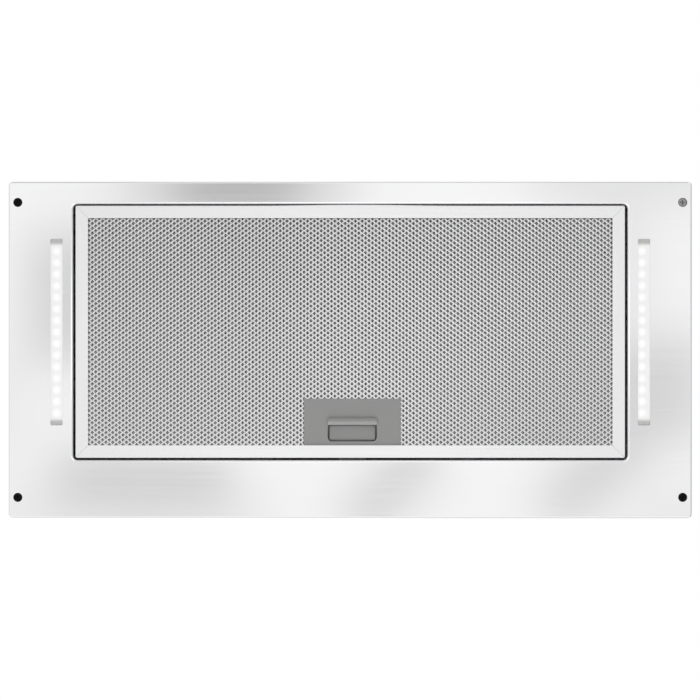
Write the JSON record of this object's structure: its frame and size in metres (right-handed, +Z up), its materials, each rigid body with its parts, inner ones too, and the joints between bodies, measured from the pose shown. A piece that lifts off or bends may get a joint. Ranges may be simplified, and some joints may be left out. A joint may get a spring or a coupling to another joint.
{
  "type": "undermount range hood",
  "caption": "Flat stainless hood insert for a wall cabinet, with a swing-down mesh grease filter on a slide latch, lit side slots, a scroll blower and a round flap-valved outlet on top.",
  "frame": {"origin": "centre of the four cabinet screws, on the plane of the cabinet's underside that the rim meets", "axes": "+Z up into the cabinet, +X along the width to the right of a person facing the hood, -Y the front"},
  "size_m": [0.6, 0.296, 0.2895],
  "materials": {
    "stainless_fascia": "satin, brushed along its length",
    "galvanised_casing": "galvanised",
    "plated_fasteners": "zinc plated",
    "rivet_aluminium": "plain",
    "black_screws": "black oxide",
    "black_nylon": "matt",
    "white_moulding": "matt",
    "led_board": "white solder mask",
    "led_chips": "lit",
    "clear_lens": "clear",
    "filter_aluminium": "satin",
    "mesh_aluminium": "expanded sheet",
    "latch_grey": "fine matt",
    "spring_steel": "plain",
    "scroll_moulding": "matt",
    "impeller_moulding": "matt",
    "motor_alloy": "cast",
    "rubber": "matt",
    "control_moulding": "matt",
    "circuit_board": "green solder mask",
    "capacitor_case": "matt"
  },
  "bodies": {
    "hood": {"fascia_panel": "stainless_fascia", "casing_front": "galvanised_casing", "casing_rear": "galvanised_casing", "casing_top": "galvanised_casing", "casing_end_left": "galvanised_casing", "casing_end_right": "galvanised_casing", "motor_bracket": "galvanised_casing", "fascia_studs": "plated_fasteners", "fascia_nuts": "plated_fasteners", "scroll_screws": "plated_fasteners", "bracket_screws": "plated_fasteners", "collar_screws": "plated_fasteners", "module_screws": "plated_fasteners", "capacitor_nut": "plated_fasteners", "damper_spindle": "plated_fasteners", "casing_rivets": "rivet_aluminium", "fixing_screws": "black_screws", "fixing_sleeves": "black_nylon", "cable_gland": "black_nylon", "gland_nut": "black_nylon", "outlet_collar": "black_nylon", "led_tray_left": "white_moulding", "led_tray_right": "white_moulding", "terminal_block": "white_moulding", "led_board_left": "led_board", "led_board_right": "led_board", "led_chips_left": "led_chips", "led_chips_right": "led_chips", "led_lens_left": "clear_lens", "led_lens_right": "clear_lens", "scroll_half_left": "scroll_moulding", "scroll_half_right": "scroll_moulding", "motor_body": "motor_alloy", "motor_grommets": "rubber", "collar_seal": "rubber", "control_box_base": "control_moulding", "control_box_lid": "control_moulding", "led_driver": "control_moulding", "control_board": "circuit_board", "capacitor": "capacitor_case"},
    "filter": {"filter_rail_front": "filter_aluminium", "filter_rail_rear": "filter_aluminium", "filter_rail_left": "filter_aluminium", "filter_rail_right": "filter_aluminium", "filter_rear_hook": "filter_aluminium", "filter_face_mesh": "mesh_aluminium", "filter_core_layers": "mesh_aluminium", "filter_back_mesh": "mesh_aluminium", "latch_housing": "latch_grey", "latch_back_cover": "latch_grey", "latch_springs": "spring_steel"},
    "latch": {"latch_slider": "latch_grey"},
    "impeller": {"impeller": "impeller_moulding", "motor_shaft": "spring_steel", "impeller_nut": "plated_fasteners"},
    "damper_front": {"damper_flap_front": "impeller_moulding"},
    "damper_rear": {"damper_flap_rear": "impeller_moulding"}
  },
  "joints": [
    {"name": "filter_swing", "type": "hinge", "parent": "hood", "child": "filter", "pos_m": [0, 0.1318, -0.00755], "axis": [1, 0, 0], "range_deg": [0, 65]},
    {"name": "latch_slide", "type": "slide", "parent": "filter", "child": "latch", "axis": [0, 1, 0], "range_m": [0, 0.0048], "stiffness_N_per_m": 600, "springref_m": -0.006, "deforming": ["latch_springs"]},
    {"name": "impeller_spin", "type": "hinge", "parent": "hood", "child": "impeller", "pos_m": [0, -0.018, 0.1402], "axis": [1, 0, 0], "continuous": true},
    {"name": "damper_front_swing", "type": "hinge", "parent": "hood", "child": "damper_front", "pos_m": [0, 0.04535, 0.23375], "axis": [-1, 0, 0], "range_deg": [0, 80]},
    {"name": "damper_rear_swing", "type": "hinge", "parent": "hood", "child": "damper_rear", "pos_m": [0, 0.04535, 0.23375], "axis": [1, 0, 0], "range_deg": [0, 80]}
  ]
}
